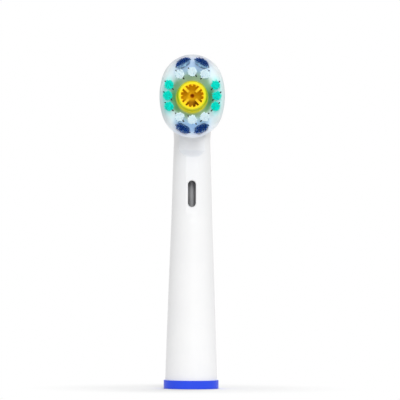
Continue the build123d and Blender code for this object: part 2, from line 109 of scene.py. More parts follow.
class Value:
    """A number that varies over a surface or a set of points, so that sums on it are plain Python."""

    def __init__(self, builder: "NodeBuilder", socket: Socket) -> None:
        """Wrap the output of a node."""
        self.builder = builder
        self.socket = socket

    def math(self, operation: str, *others: Number) -> "Value":
        """Add one Math node with this value first, and take its result."""
        values = dict(enumerate((self, *others)))
        return self.builder.value("ShaderNodeMath", {"operation": operation}, values)

    def __add__(self, other: Number) -> "Value":
        """Add, also to a plain number."""
        return self.math("ADD", other)

    __radd__ = __add__

    def __sub__(self, other: Number) -> "Value":
        """Subtract."""
        return self.math("SUBTRACT", other)

    def __rsub__(self, other: float) -> "Value":
        """Subtract from a plain number."""
        return self.math("MULTIPLY", -1.0) + other

    def __mul__(self, other: Number) -> "Value":
        """Multiply, also a plain number."""
        return self.math("MULTIPLY", other)

    __rmul__ = __mul__

    def __truediv__(self, other: Number) -> "Value":
        """Divide."""
        return self.math("DIVIDE", other)

    def __rtruediv__(self, other: float) -> "Value":
        """Divide a plain number."""
        return self.math("POWER", -1.0) * other

    def __pow__(self, other: Number) -> "Value":
        """Raise to a power."""
        return self.math("POWER", other)

    def __abs__(self) -> "Value":
        """Drop the sign."""
        return self.math("ABSOLUTE")

    def step(self, low: float, high: float) -> "Value":
        """Rise smoothly from 0 at one value to 1 at another; the first may be the greater."""
        sockets = {"Value": self, "From Min": low, "From Max": high}
        return self.builder.value("ShaderNodeMapRange", {"interpolation_type": "SMOOTHSTEP"}, sockets)


def distance(across: Value, up: Value) -> Value:
    """How far a point is from where both values are 0."""
    return (across ** 2.0 + up ** 2.0).math("SQRT")


class NodeBuilder:
    """Adds nodes to a tree: one method for every kind of node."""

    def __init__(self, tree: bpy.types.NodeTree) -> None:
        """Start with a tree that may already have nodes."""
        self.tree = tree

    def node(self, kind: str, settings: Settings = None, sockets: Sockets = None) -> bpy.types.Node:
        """Add one node.

        Args:
            kind: The node's type.
            settings: Its own settings, set first.
            sockets: Values or links of its inputs, by name or number.

        Returns:
            The node.
        """
        node = self.tree.nodes.new(kind)
        for name, setting in (settings or {}).items():
            setattr(node, name, setting)
        for key, value in (sockets or {}).items():
            if isinstance(value, Value):
                value = value.socket
            if isinstance(value, Socket):
                self.tree.links.new(value, node.inputs[key])
            elif isinstance(value, tuple) and node.inputs[key].type == "RGBA":
                node.inputs[key].default_value = (*value, 1.0)
            else:
                node.inputs[key].default_value = value
        return node

    def value(
        self, kind: str, settings: Settings = None, sockets: Sockets = None, output: str | int = 0
    ) -> Value:
        """Add one node as the method above does, and wrap one of its outputs for sums."""
        return Value(self, self.node(kind, settings, sockets).outputs[output])


class Surface(NodeBuilder):
    """The node tree of one finish, with the patterns that finishes share. Lengths are in millimetres."""

    def __init__(self, name: str) -> None:
        """Make an empty material, and find the place of each point on it.

        Args:
            name: The material's name.
        """
        self.material = bpy.data.materials.new(name)
        self.material.use_nodes = True
        super().__init__(self.material.node_tree)
        self.tree.nodes.clear()
        place = self.node("ShaderNodeTexCoord").outputs["Object"]
        scaled = self.node("ShaderNodeVectorMath", {"operation": "SCALE"}, {0: place, "Scale": 1 / MM})
        self.place = scaled.outputs[0]
        split = self.node("ShaderNodeSeparateXYZ", None, {0: self.place})
        self.x, self.y, self.z = (Value(self, output) for output in split.outputs)

    def noise(self, size: float, detail: float = 2.0, stretch: Triple = (1.0, 1.0, 1.0)) -> Value:
        """Soft random cloud.

        Args:
            size: Size of a cloud in millimetres.
            detail: How many finer layers it has.
            stretch: Scale along each axis; under 1 draws the cloud out.

        Returns:
            Values round one half.
        """
        place = self.node("ShaderNodeMapping", None, {"Vector": self.place, "Scale": stretch}).outputs[0]
        sockets = {"Vector": place, "Scale": 1 / size, "Detail": detail, "Roughness": 0.55}
        return self.value("ShaderNodeTexNoise", {"noise_dimensions": "3D"}, sockets, "Fac")

    def cells(self, size: float) -> Value:
        """Fine pebbled grain, as spark erosion leaves in a mould."""
        sockets = {"Vector": self.place, "Scale": 1 / size}
        return self.value("ShaderNodeTexVoronoi", {"feature": "SMOOTH_F1"}, sockets)

    def mix(self, share: Number, first: Any, second: Any) -> Socket:
        """Blend two colours or their sockets; the share is how much of the second shows."""
        settings = {"data_type": "RGBA", "clamp_factor": True}
        return self.node("ShaderNodeMix", settings, {0: share, 6: first, 7: second}).outputs[2]

    def relief(self, height: Value, depth: float, strength: float) -> Socket:
        """Bend the normal by a height pattern of some depth in millimetres, and by how much it shows."""
        sockets = {"Height": height, "Distance": depth * MM, "Strength": strength}
        return self.node("ShaderNodeBump", None, sockets).outputs[0]

    def finish(self, sockets: dict[str, Any]) -> Material:
        """Close the tree with its shader.

        Args:
            sockets: Links for what varies over the surface, and values for what is the same all over.

        Returns:
            The material.
        """
        shader = self.node("ShaderNodeBsdfPrincipled", None, sockets)
        self.node("ShaderNodeOutputMaterial", None, {"Surface": shader.outputs[0]})
        return self.material


@dataclass(frozen=True)
class MouldedPlastic:
    """An opaque moulded plastic with a fine pebbled grain and faint clouds in its colour."""

    colour: Colour
    shade: Colour
    roughness: float
    clouds: float = 9.0
    cloud_span: Span = (0.35, 0.7)
    cloud_share: float = 0.6
    speck: float = 0.35
    speck_share: float = 0.2
    smear: float = 3.2
    smear_stretch: Triple = (1.0, 1.0, 0.35)
    smear_gloss: float = 0.16
    grain: float = 0.16
    grain_gloss: float = 0.06
    grain_depth: float = 0.004
    grain_strength: float = 0.5
    ripple: float = 1.1
    ripple_share: float = 0.5
    specular: float = 0.4
    coat: float = 0.0

    def build(self, name: str) -> Material:
        """Make the material.

        Args:
            name: Its name.

        Returns:
            The material.
        """
        skin = Surface(name)
        cloud = skin.noise(self.clouds, detail=3.0).step(*self.cloud_span)
        speck = skin.noise(self.speck)
        grain = skin.cells(self.grain)
        smear = skin.noise(self.smear, 4.0, self.smear_stretch)
        gloss = (smear - 0.5) * self.smear_gloss + (grain - 0.4) * self.grain_gloss
        height = grain + skin.noise(self.ripple) * self.ripple_share
        shading = cloud * self.cloud_share + speck * self.speck_share
        return skin.finish({
            "Base Color": skin.mix(shading, self.colour, self.shade),
            "Roughness": self.roughness + gloss,
            "Normal": skin.relief(height, self.grain_depth, self.grain_strength),
            "IOR": 1.5,
            "Specular IOR Level": self.specular,
            "Coat Weight": self.coat,
            "Coat Roughness": 0.12,
        })


@dataclass(frozen=True)
class ClearPlate:
    """The milky clear plastic of the bristle plate, with painted coloured light and painted shade from
    the cup and the tufts that stand in it, and a painted glow on its front.
    """

    body: Colour = srgb(232, 241, 247)
    rim: Colour = srgb(244, 248, 254)
    # Painted greenish light and shade round the cup, darker beside it than above it.
    cup_light_and_shade_beside: Colour = srgb(64, 150, 80)
    cup_light_and_shade_above: Colour = srgb(146, 176, 136)
    # Painted glow of the cup's foot seen through the plate, in the colour and in the emission.
    foot_glow: Colour = srgb(216, 206, 0)
    foot_light: Colour = srgb(238, 228, 0)
    # Painted shade by the white tufts, painted bluish light and shade by the blue tufts, painted teal
    # light by the teal tufts.
    white_tuft_shade: Colour = srgb(180, 206, 206)
    blue_tuft_light_and_shade: Colour = srgb(164, 209, 243)
    teal_tuft_light: Colour = srgb(190, 250, 255)
    half_width: float = 7.5
    half_height: float = 9.5
    front_y: Span = (-4.3, PLATE_FRONT_Y + 0.6)
    white_up: Span = (3.6, 4.6)
    white_end_up: Span = (7.0, 5.6)
    white_across: Span = (4.4, 3.0)
    white_share: float = 0.7
    blue_up: Span = (4.6, 6.8)
    blue_end_up: Span = (9.4, 8.0)
    blue_across: Span = (5.0, 2.6)
    blue_share: float = 0.55
    low_blue_up: Span = (2.0, -2.0)
    low_blue_share: float = 0.25
    teal_up: Span = (5.2, 3.4)
    teal_across: Span = (4.2, 5.4)
    teal_share: float = 0.9
    wisp: float = 2.2
    wisp_reach: float = 1.8
    cup_out: Span = (6.0, 4.3)
    cup_share: float = 0.76
    low_cup_up: Span = (2.2, 0.2)
    low_cup_share: float = 0.19
    beside_ratio: Span = (0.5, 0.9)
    foot_offset: Pair = (0.08, 0.4)
    foot_out: Span = (3.95, 3.35)
    foot_share: float = 0.9
    rim_oval: Span = (0.8, 0.98)
    rim_share: float = 0.7
    # Painted glow over the plate's front, more by the blue tufts.
    front_glow_oval: Span = (1.02, 0.8)
    front_glow_share: float = 0.76
    blue_front_glow_share: float = 0.24
    # Painted bright lip along the plate's lower rim.
    lower_rim_glow_oval: Span = (0.84, 0.93)
    lower_rim_glow_up: Span = (-5.5, -8.0)
    lower_rim_glow_share: float = 0.5
    transmission: float = 0.15
    scatter: float = 0.8
    scatter_depth: float = 2.5
    painted_glow: float = 0.34
    roughness: float = 0.2
    smear: float = 0.6
    smear_gloss: float = 0.12
    wave: float = 0.9
    wave_depth: float = 0.01
    wave_strength: float = 0.35

    def build(self, name: str) -> Material:
        """Make the material.

        Args:
            name: Its name.

        Returns:
            The material.
        """
        skin = Surface(name)
        up = skin.z - PIVOT_HEIGHT
        front = skin.y.step(*self.front_y)
        oval = distance(skin.x / self.half_width, up / self.half_height)
        near_blue = abs(up).step(*self.blue_up) * abs(up).step(*self.blue_end_up)
        near_blue = near_blue * abs(skin.x).step(*self.blue_across)
        # Painted glow round the cup's foot, set a little to the lower left of its axis.
        foot_x, foot_z = self.foot_offset
        by_foot = distance(skin.x + foot_x, up + foot_z).step(*self.foot_out) * front * self.foot_share
        colour = self._paint_tuft_and_cup_light(skin, up, near_blue, front)
        colour = skin.mix(by_foot, colour, self.foot_glow)
        colour = skin.mix(oval.step(*self.rim_oval) * self.rim_share, colour, self.rim)
        light = skin.mix(by_foot, colour, self.foot_light)
        # Painted glow over the front of the plate, more by the blue tufts, and a painted bright lip along
        # its lower rim.
        share = self.front_glow_share + self.blue_front_glow_share * near_blue
        lower_rim_glow = oval.step(*self.lower_rim_glow_oval) * up.step(*self.lower_rim_glow_up) * self.lower_rim_glow_share
        front_glow = oval.step(*self.front_glow_oval) * front * share + lower_rim_glow * front
        height = skin.noise(self.wave, detail=3.0)
        return skin.finish({
            "Base Color": colour,
            # The emission is a painted glow.
            "Emission Color": skin.mix(front_glow, BLACK, light),
            "Roughness": self.roughness + (skin.noise(self.smear) - 0.5) * self.smear_gloss,
            "Normal": skin.relief(height, self.wave_depth, self.wave_strength),
            "IOR": 1.49,
            "Transmission Weight": self.transmission,
            "Subsurface Weight": self.scatter,
            "Subsurface Radius": (1.0, 1.0, 1.0),
            "Subsurface Scale": self.scatter_depth * MM,
            "Emission Strength": self.painted_glow,
            "Coat Weight": 0.2,
            "Coat Roughness": 0.06,
        })

    def _paint_tuft_and_cup_light(self, skin: Surface, up: Value, near_blue: Value, front: Value) -> Socket:
        """Paint coloured light and shade from the tufts and the cup into the plastic's colour.

        Args:
            skin: The tree.
            up: Height over the pivot.
            near_blue: 1 by the blue tufts.
            front: 1 at the plate's front.

        Returns:
            The colour's socket.
        """
        radius = distance(skin.x, up)
        near_white = abs(up).step(*self.white_up) * abs(up).step(*self.white_end_up)
        near_white = near_white * abs(skin.x).step(*self.white_across)
        near_teal = abs(skin.x).step(*self.teal_across) * abs(up).step(*self.teal_up)
        # Painted greenish light and shade round the cup, with ragged edges, stronger low down.
        wisps = (skin.noise(self.wisp, detail=3.0) - 0.5) * self.wisp_reach
        near_cup = (radius + wisps).step(*self.cup_out) * front
        # Painted bluish light and shade by the blue tufts, stronger by the lower ones.
        blue = near_blue * (self.blue_share + self.low_blue_share * up.step(*self.low_blue_up))
        green = near_cup * (self.cup_share + self.low_cup_share * up.step(*self.low_cup_up))
        beside = (abs(skin.x) / radius).step(*self.beside_ratio)
        # Painted shade by the white tufts, then painted bluish and teal light by the blue and teal tufts,
        # then painted greenish light and shade round the cup.
        colour = skin.mix(near_white * self.white_share, self.body, self.white_tuft_shade)
        colour = skin.mix(blue, colour, self.blue_tuft_light_and_shade)
        colour = skin.mix(near_teal * self.teal_share, colour, self.teal_tuft_light)
        return skin.mix(green, colour, skin.mix(beside, self.cup_light_and_shade_above, self.cup_light_and_shade_beside))


@dataclass(frozen=True)
class CupRubber:
    """Soft yellow rubber with a painted glow at the rim and teeth, on its inner walls and down its outer
    wall, and painted shade that darkens the outer wall to olive and turns the floor amber low down and
    orange-brown in the hole.
    """

    rim: Colour = srgb(252, 233, 44)
    # Painted shade: the wall colour darkens the outer wall towards the plate.
    wall: Colour = srgb(208, 198, 0)
    rib: Colour = srgb(248, 198, 34)
    floor: Colour = srgb(255, 218, 14)
    # Painted shade: the corner, low floor and hole colours; glow is the colour of the painted glow.
    corner: Colour = srgb(252, 206, 8)
    low_floor_shade: Colour = srgb(194, 136, 4)
    hole: Colour = srgb(226, 134, 0)
    glow: Colour = srgb(248, 224, 0)
    depth_y: Span = (-11.5, -8.0)
    outer_y: Span = (-11.8, PLATE_FRONT_Y)
    fin_y: Span = (-10.6, -11.5)
    inside_out: Span = (2.85, 2.55)
    wall_out: Span = (1.0, 2.2)
    tooth_out: Span = (1.9, 2.2)
    corner_out: Span = (1.6, 2.3)
    hole_out: Span = (0.75, 0.3)
    middle_up: Span = (-1.8, -0.4)
    high_up: Span = (1.0, 2.2)
    low_up: Span = (-0.4, -1.6)
    wall_share: float = 0.9
    middle_glow: float = 0.1
    high_glow: float = 0.06
    tooth_glow: float = 0.9
    mottle: float = 0.5
    mottle_share: float = 0.12
    mottle_gloss: float = 0.2
    roughness: float = 0.46
    grain: float = 0.12
    grain_depth: float = 0.006
    grain_strength: float = 0.5
    painted_glow: float = 0.3

    def build(self, name: str) -> Material:
        """Make the material.

        Args:
            name: Its name.

        Returns:
            The material.
        """
        skin = Surface(name)
        up = skin.z - PIVOT_HEIGHT
        radius = distance(skin.x, up)
        depth = skin.y.step(*self.depth_y)
        inside = radius.step(*self.inside_out)
        outer = skin.y.step(*self.outer_y)
        # Painted glow: on the inner walls, more on the upper side, on the teeth and rim, and down the
        # outer wall.
        walls = self.middle_glow * up.step(*self.middle_up)
        walls = walls + self.high_glow * up.step(*self.high_up)
        walls = walls * radius.step(*self.wall_out)
        teeth = self.tooth_glow * skin.y.step(*self.fin_y) * radius.step(*self.tooth_out)
        glowing = outer * (1.0 - inside) + inside * (walls + teeth)
        mottle = skin.noise(self.mottle, detail=3.0)
        # Painted shade: deeper towards the wall, on the lower floor, down the outer wall and in the hole.
        bottom = skin.mix(radius.step(*self.corner_out), self.floor, self.corner)
        inner = skin.mix(depth, self.rib, bottom)
        inner = skin.mix(depth * up.step(*self.low_up), inner, self.low_floor_shade)
        colour = skin.mix(outer * self.wall_share, self.rim, self.wall)
        colour = skin.mix(inside, colour, inner)
        colour = skin.mix(radius.step(*self.hole_out), colour, self.hole)
        height = skin.cells(self.grain) + mottle
        return skin.finish({
            "Base Color": skin.mix(mottle * self.mottle_share, colour, self.floor),
            # The emission is a painted glow.
            "Emission Color": skin.mix(glowing, BLACK, self.glow),
            "Emission Strength": self.painted_glow,
            "Roughness": self.roughness + (mottle - 0.5) * self.mottle_gloss,
            "Normal": skin.relief(height, self.grain_depth, self.grain_strength),
            "IOR": 1.43,
            "Specular IOR Level": 0.08,
        })


@dataclass(frozen=True)
class DrawnSteel:
    """Drawn stainless steel with fine lines along the neck."""

    colour: Colour
    shade: Colour
    roughness: float
    metallic: float = 1.0
    line: float = 0.12
    line_stretch: Triple = (1.0, 1.0, 0.03)
    line_gloss: float = 0.25
    line_depth: float = 0.004
    line_strength: float = 0.4
    stain: float = 4.0
    stain_span: Span = (0.4, 0.7)

    def build(self, name: str) -> Material:
        """Make the material.

        Args:
            name: Its name.

        Returns:
            The material.
        """
        skin = Surface(name)
        lines = skin.noise(self.line, 3.0, self.line_stretch)
        stain = skin.noise(self.stain, detail=3.0).step(*self.stain_span)
        return skin.finish({
            "Base Color": skin.mix(stain, self.colour, self.shade),
            "Roughness": self.roughness + (lines - 0.5) * self.line_gloss,
            "Normal": skin.relief(lines, self.line_depth, self.line_strength),
            "Metallic": self.metallic,
            "IOR": 1.6,
        })


@dataclass(frozen=True)
class FilamentNylon:
    """Nylon filaments: deeper at the cut tips, lighter down the sides, each a little different, with a
    faint painted glow.
    """

    tip: Colour
    side: Colour
    root: Colour
    tip_y: float
    painted_glow: float
    tip_span: Span = (1.1, 1.4)
    root_span: Span = (4.2, 7.2)
    strand_share: float = 0.35
    streak: float = 0.3
    streak_stretch: Triple = (1.0, 0.15, 1.0)
    streak_share: float = 0.12
    streak_gloss: float = 0.2
    streak_depth: float = 0.004
    streak_strength: float = 0.3
    roughness: float = 0.3

    def build(self, name: str) -> Material:
        """Make the material.

        Args:
            name: Its name.

        Returns:
            The material.
        """
        skin = Surface(name)
        strand = skin.value("ShaderNodeAttribute", {"attribute_name": "strand"}, None, "Fac")
        streak = skin.noise(self.streak, 2.0, self.streak_stretch)
        from_tip = skin.y - self.tip_y
        colour = skin.mix(from_tip.step(*self.tip_span), self.tip, self.side)
        colour = skin.mix(from_tip.step(*self.root_span), colour, self.root)
        colour = skin.mix(strand * self.strand_share + streak * self.streak_share, colour, self.root)
        return skin.finish({
            "Base Color": colour,
            # A faint painted glow in the filament's own colour.
            "Emission Color": colour,
            "Emission Strength": self.painted_glow,
            "Roughness": self.roughness + (streak - 0.5) * self.streak_gloss,
            "Normal": skin.relief(streak, self.streak_depth, self.streak_strength),
            "IOR": 1.53,
            "Specular IOR Level": 0.08,
        })


class Finish(Enum):
    """Every finish on the head, by the record's slot."""

    WHITE_PLASTIC = MouldedPlastic(
        srgb(246, 246, 246), srgb(242, 242, 243), roughness=0.36, coat=0.08
    )
    RING_BLUE = MouldedPlastic(
        srgb(50, 84, 238), srgb(42, 74, 226), roughness=0.36, specular=0.18
    )
    NATURAL_PLASTIC = MouldedPlastic(
        srgb(236, 235, 228), srgb(222, 220, 210), roughness=0.48, clouds=5.0
    )
    CLEAR_PLASTIC = ClearPlate()
    SOFT_YELLOW = CupRubber()
    STEEL = DrawnSteel(
        srgb(174, 175, 177), srgb(160, 161, 164), roughness=0.58, metallic=0.4
    )
    ANCHOR_METAL = DrawnSteel(srgb(70, 72, 70), srgb(48, 48, 44), roughness=0.45)
    # Each nylon has a faint painted glow of its own colour.
    BLUE_FILAMENT = FilamentNylon(
        tip=srgb(2, 40, 110),
        side=srgb(196, 238, 255),
        root=srgb(24, 92, 196),
        tip_y=-14.1,
        painted_glow=0.02,
    )
    WHITE_FILAMENT = FilamentNylon(
        tip=srgb(238, 252, 252),
        side=srgb(234, 250, 255),
        root=srgb(214, 240, 255),
        tip_y=-13.3,
        painted_glow=0.09,
    )
    TEAL_FILAMENT = FilamentNylon(
        tip=srgb(0, 248, 228),
        side=srgb(0, 240, 222),
        root=srgb(0, 204, 190),
        tip_y=-13.6,
        painted_glow=0.08,
    )

    @property
    def slot(self) -> str:
        """The record's name for it."""
        return self.name.lower()

    @cache
    def material(self) -> Material:
        """The material, made the first time that it is asked for."""
        return self.value.build(self.slot + "_finish")


class GeometryTree(NodeBuilder):
    """A geometry tree with named inputs, run on an object that is made for it."""

    def __init__(self, name: str, inputs: dict[str, tuple[str, ...]]) -> None:
        """Make the tree.

        Args:
            name: The tree's name.
            inputs: Names of the inputs of each kind: Float, Int or Material.
        """
        tree = bpy.data.node_groups.new(name, "GeometryNodeTree")
        super().__init__(tree)
        tree.interface.new_socket("Geometry", in_out="INPUT", socket_type="NodeSocketGeometry")
        for kind, labels in inputs.items():
            for label in labels:
                tree.interface.new_socket(label, in_out="INPUT", socket_type="NodeSocket" + kind)
        tree.interface.new_socket("Geometry", in_out="OUTPUT", socket_type="NodeSocketGeometry")
        self.inlet = self.node("NodeGroupInput")

    def given(self, label: str) -> Value:
        """One of the named inputs."""
        return Value(self, self.inlet.outputs[label])

    def vector(self, x: Number = 0.0, y: Number = 0.0, z: Number = 0.0) -> Socket:
        """A vector of three numbers."""
        return self.node("ShaderNodeCombineXYZ", None, {0: x, 1: y, 2: z}).outputs[0]

    def compare(self, operation: str, first: Number, second: Number) -> Socket:
        """Whether one number is greater or less than another."""
        sockets = {0: first, 1: second}
        return self.node("FunctionNodeCompare", {"operation": operation}, sockets).outputs[0]

    def shift(self, geometry: Socket, x: Number = 0.0, z: Number = 0.0) -> Socket:
        """Move a geometry."""
        sockets = {0: geometry, "Translation": self.vector(x=x, z=z)}
        return self.node("GeometryNodeTransform", None, sockets).outputs[0]

    def join(self, *parts: Socket) -> Socket:
        """Put geometries together.

        Args:
            parts: The geometries.

        Returns:
            All of them as one.
        """
        joined = self.node("GeometryNodeJoinGeometry")
        for part in parts:
            self.tree.links.new(part, joined.inputs[0])
        return joined.outputs[0]

    def close(self, geometry: Socket) -> None:
        """Send the geometry out of the tree."""
        self.node("NodeGroupOutput", None, {0: geometry})

    def close_instances(self, instances: Socket) -> None:
        """Make instances real, give them the finish and send them out of the tree.

        Args:
            instances: The instances.
        """
        realized = self.node("GeometryNodeRealizeInstances", None, {0: instances}).outputs[0]
        sockets = {0: realized, "Material": self.given("Finish")}
        self.close(self.node("GeometryNodeSetMaterial", None, sockets).outputs[0])

    def attach(self, piece: Piece, values: dict[str, Any]) -> None:
        """Put the tree on an object.

        Args:
            piece: The object.
            values: Values of the named inputs.
        """
        modifier = piece.modifiers.new(self.tree.name, "NODES")
        modifier.node_group = self.tree
        for item in self.tree.interface.items_tree:
            if item.item_type == "SOCKET" and item.in_out == "INPUT" and item.name in values:
                modifier[item.identifier] = values[item.name]

    def grow(self, name: str, values: dict[str, Any]) -> bpy.types.Mesh:
        """Run the tree on an empty object and keep its result as a plain mesh.

        Args:
            name: Name of the mesh.
            values: Values of the named inputs.

        Returns:
            The mesh.
        """
        holder = add_object(name + "_holder", bpy.data.meshes.new(name + "_start"))
        self.attach(holder, values)
        graph = bpy.context.evaluated_depsgraph_get()
        mesh = bpy.data.meshes.new_from_object(holder.evaluated_get(graph), depsgraph=graph)
        mesh.name = name
        bpy.data.objects.remove(holder)
        return mesh


class SoftEdges(GeometryTree):
    """Joins a solid's loose triangles and shades them smooth, except across real edges."""

    def __init__(self) -> None:
        """Build the tree."""
        super().__init__("soft_edges", {"Float": ("Edge angle", "Join distance")})
        joined = self.node("GeometryNodeMergeByDistance", None, {
            "Geometry": self.inlet.outputs["Geometry"],
            "Distance": self.given("Join distance"),
        })
        smooth = self.node("GeometryNodeSetShadeSmooth", {"domain": "FACE"}, {
            0: joined.outputs[0],
            "Shade Smooth": True,
        })
        angle = self.value("GeometryNodeInputMeshEdgeAngle", None, None, "Unsigned Angle")
        creased = self.node("GeometryNodeSetShadeSmooth", {"domain": "EDGE"}, {
            0: smooth.outputs[0],
            "Selection": self.compare("GREATER_THAN", angle, self.given("Edge angle")),
            "Shade Smooth": False,
        })
        self.close(creased.outputs[0])


class Draw(IntEnum):
    """The random numbers of a filament, each drawn apart from the others."""

    MOVE_ACROSS = 1
    MOVE_UP = 2
    TRIM = 3
    LEAN_UP = 4
    LEAN_ACROSS = 5
    TWIST = 6
    STRAND = 7


class FilamentBundle(GeometryTree):
    """A tuft: six-sided filaments in honeycomb rows, trimmed to a ragged crown and spread a little."""

    SIDES = 6
    MOVE_SHARE = 0.1
    TIP_LENGTH_SHARE = 0.2
    TIP_RADIUS_SHARE = 0.74

    def __init__(self) -> None:
        """Build the tree."""
        sizes = ("Half length", "Half width", "Corner", "Pitch", "Filament radius", "Filament length")
        trims = ("Crown", "Slant", "Trim", "Spread", "Wander")
        super().__init__("filament_bundle", {
            "Float": sizes + trims,
            "Int": ("Columns", "Rows", "Seed"),
            "Material": ("Finish",),
        })
        place = self.node("GeometryNodeInputPosition").outputs[0]
        split = self.node("ShaderNodeSeparateXYZ", None, {0: place})
        self.across = Value(self, split.outputs[0])
        self.up = Value(self, split.outputs[1])
        self.close_instances(self._instances(self._rows()))

    def _random(self, low: Number, high: Number, draw: Draw) -> Value:
        """A random number for each filament, from the least to the most."""
        sockets = {2: low, 3: high, "Seed": self.given("Seed") + float(draw)}
        return self.value("FunctionNodeRandomValue", {"data_type": "FLOAT"}, sockets, 1)

    def _either_way(self, reach: Value, draw: Draw) -> Value:
        """A random number for each filament, as far under zero as over it."""
        return self._random(reach * -1.0, reach, draw)

    def _rows(self) -> Socket:
        """Set out the filaments in staggered rows inside the tuft's outline.

        Returns:
            Their points.
        """
        pitch = self.given("Pitch")
        row_pitch = pitch * ROW_SHARE
        columns = self.given("Columns")
        rows = self.given("Rows")
        grid = self.node("GeometryNodeMeshGrid", None, {
            "Size X": pitch * (columns - 1.0),
            "Size Y": row_pitch * (rows - 1.0),
            "Vertices X": columns,
            "Vertices Y": rows,
        })
        odd = abs((self.up / row_pitch).math("ROUND")).math("MODULO", 2.0)
        reach = pitch * self.MOVE_SHARE
        move = self.vector(
            odd * pitch * 0.5 + self._either_way(reach, Draw.MOVE_ACROSS),
            self._either_way(reach, Draw.MOVE_UP),
        )
        moved = self.node("GeometryNodeSetPosition", None, {0: grid.outputs[0], "Offset": move})
        corner = self.given("Corner")
        oval = (abs(self.across) / self.given("Half length")) ** corner
        oval = oval + (abs(self.up) / self.given("Half width")) ** corner
        kept = self.node("GeometryNodeDeleteGeometry", {"domain": "POINT"}, {
            0: moved.outputs[0],
            "Selection": self.compare("GREATER_THAN", oval, 1.0),
        })
        return kept.outputs[0]

    def _filament(self) -> Socket:
        """Make one filament.

        Returns:
            A six-sided rod with a rounded-off tip.
        """
        radius = self.given("Filament radius")
        tip_length = radius * self.TIP_LENGTH_SHARE
        shank_length = self.given("Filament length") - tip_length
        rod = self.node("GeometryNodeMeshCylinder", {"fill_type": "NONE"}, {
            "Vertices": self.SIDES,
            "Radius": radius,
            "Depth": shank_length,
        })
        cone = self.node("GeometryNodeMeshCone", {"fill_type": "NGON"}, {
            "Vertices": self.SIDES,
            "Radius Top": radius * self.TIP_RADIUS_SHARE,
            "Radius Bottom": radius,
            "Depth": tip_length,
        })
        shank = self.shift(rod.outputs[0], z=shank_length * 0.5)
        return self.join(shank, self.shift(cone.outputs[0], z=shank_length))

    def _instances(self, points: Socket) -> Socket:
        """A filament on each point, leaning outwards and cut to its own length.

        Args:
            points: The points.

        Returns:
            The filaments, each with a random number in its "strand" attribute.
        """
        share_across = self.across / self.given("Half length")
        share_up = self.up / self.given("Half width")
        drop = self.given("Crown") * (share_across ** 2.0 + share_up ** 2.0)
        slant = self.given("Slant")
        slope = (abs(slant) - share_up * slant) * 0.5
        cut = drop + slope + self._random(0.0, self.given("Trim"), Draw.TRIM)
        length = self.given("Filament length")
        spread = self.given("Spread")
        wander = self.given("Wander")
        lean = self.vector(
            share_up * spread * -1.0 + self._either_way(wander, Draw.LEAN_UP),
            share_across * spread + self._either_way(wander, Draw.LEAN_ACROSS),
            self._random(0.0, 1.0, Draw.TWIST),
        )
        placed = self.node("GeometryNodeInstanceOnPoints", None, {
            "Points": points,
            "Instance": self._filament(),
            "Rotation": lean,
            "Scale": self.vector(1.0, 1.0, (length - cut) / length),
        })
        settings = {"data_type": "FLOAT", "domain": "INSTANCE"}
        marked = self.node("GeometryNodeStoreNamedAttribute", settings, {
            0: placed.outputs[0],
            "Name": "strand",
            "Value": self._random(0.0, 1.0, Draw.STRAND),
        })
        return marked.outputs[0]


class FinRing(GeometryTree):
    """The fins inside the cup: long ribs at even places, and teeth that point inwards between them."""

    PRISM_LENGTH = 1.5
    PRISM_WIDTH = math.sqrt(3)

    def __init__(self) -> None:
        """Build the tree."""
        sizes = ("Wall radius", "Height", "Rib length", "Rib width", "Tooth length", "Tooth width")
        super().__init__("fin_ring", {
            "Float": ("Places to a rib",) + sizes,
            "Int": ("Places",),
            "Material": ("Finish",),
        })
        places = self.given("Places")
        index = self.value("GeometryNodeInputIndex")
        circle = self.node("GeometryNodeMeshCircle", {"fill_type": "NONE"}, {
            "Vertices": places,
            "Radius": self.given("Wall radius"),
        })
        turn = self.vector(z=index * math.tau / places)
        from_rib = index.math("MODULO", self.given("Places to a rib"))
        rings = []
        for operation, fin in (("LESS_THAN", self._rib()), ("GREATER_THAN", self._tooth())):
            ring = self.node("GeometryNodeInstanceOnPoints", None, {
                "Points": circle.outputs[0],
                "Selection": self.compare(operation, from_rib, 0.5),
                "Instance": fin,
                "Rotation": turn,
            })
            rings.append(ring.outputs[0])
        self.close_instances(self.join(*rings))

    def _rib(self) -> Socket:
        """Make one long rib.

        Returns:
            A block with its end in the wall and its top at zero.
        """
        length = self.given("Rib length")
        height = self.given("Height")
        size = self.vector(length, self.given("Rib width"), height)
        block = self.node("GeometryNodeMeshCube", None, {"Size": size}).outputs[0]
        return self.shift(block, length * -0.5, height * -0.5)

    def _tooth(self) -> Socket:
        """Make one tooth.

        Returns:
            A three-sided prism with its base in the wall, its edge inwards and its top at zero.
        """
        length = self.given("Tooth length")
        width = self.given("Tooth width")
        height = self.given("Height")
        prism = self.node("GeometryNodeMeshCylinder", {"fill_type": "NGON"}, {
            "Vertices": 3,
            "Radius": 1.0,
            "Depth": 1.0,
        })
        tooth = self.node("GeometryNodeTransform", None, {
            0: prism.outputs[0],
            "Translation": self.vector(x=length / -3.0, z=height * -0.5),
            "Rotation": (0.0, 0.0, math.pi),
            "Scale": self.vector(length / self.PRISM_LENGTH, width / self.PRISM_WIDTH, height),
        })
        return tooth.outputs[0]


@dataclass
class Dresser:
    """Gives the solids of the frame their finishes and soft shading."""

    edge_angle: float = math.radians(18.5)
    join_distance: float = 0.002 * MM

    def __post_init__(self) -> None:
        """Build the shading tree once."""
        self.soft_edges = SoftEdges()

    def dress(self, finishes: dict[str, Finish]) -> list[Piece]:
        """Finish some solids.

        Args:
            finishes: The finish of each solid, by the solid's name.

        Returns:
            The solids.
        """
        values = {"Edge angle": self.edge_angle, "Join distance": self.join_distance}
        solids = [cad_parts[node] for node in finishes]
        for solid, finish in zip(solids, finishes.values()):
            solid.data.materials.clear()
            solid.data.materials.append(finish.material())
            self.soft_edges.attach(solid, values)
        return solids


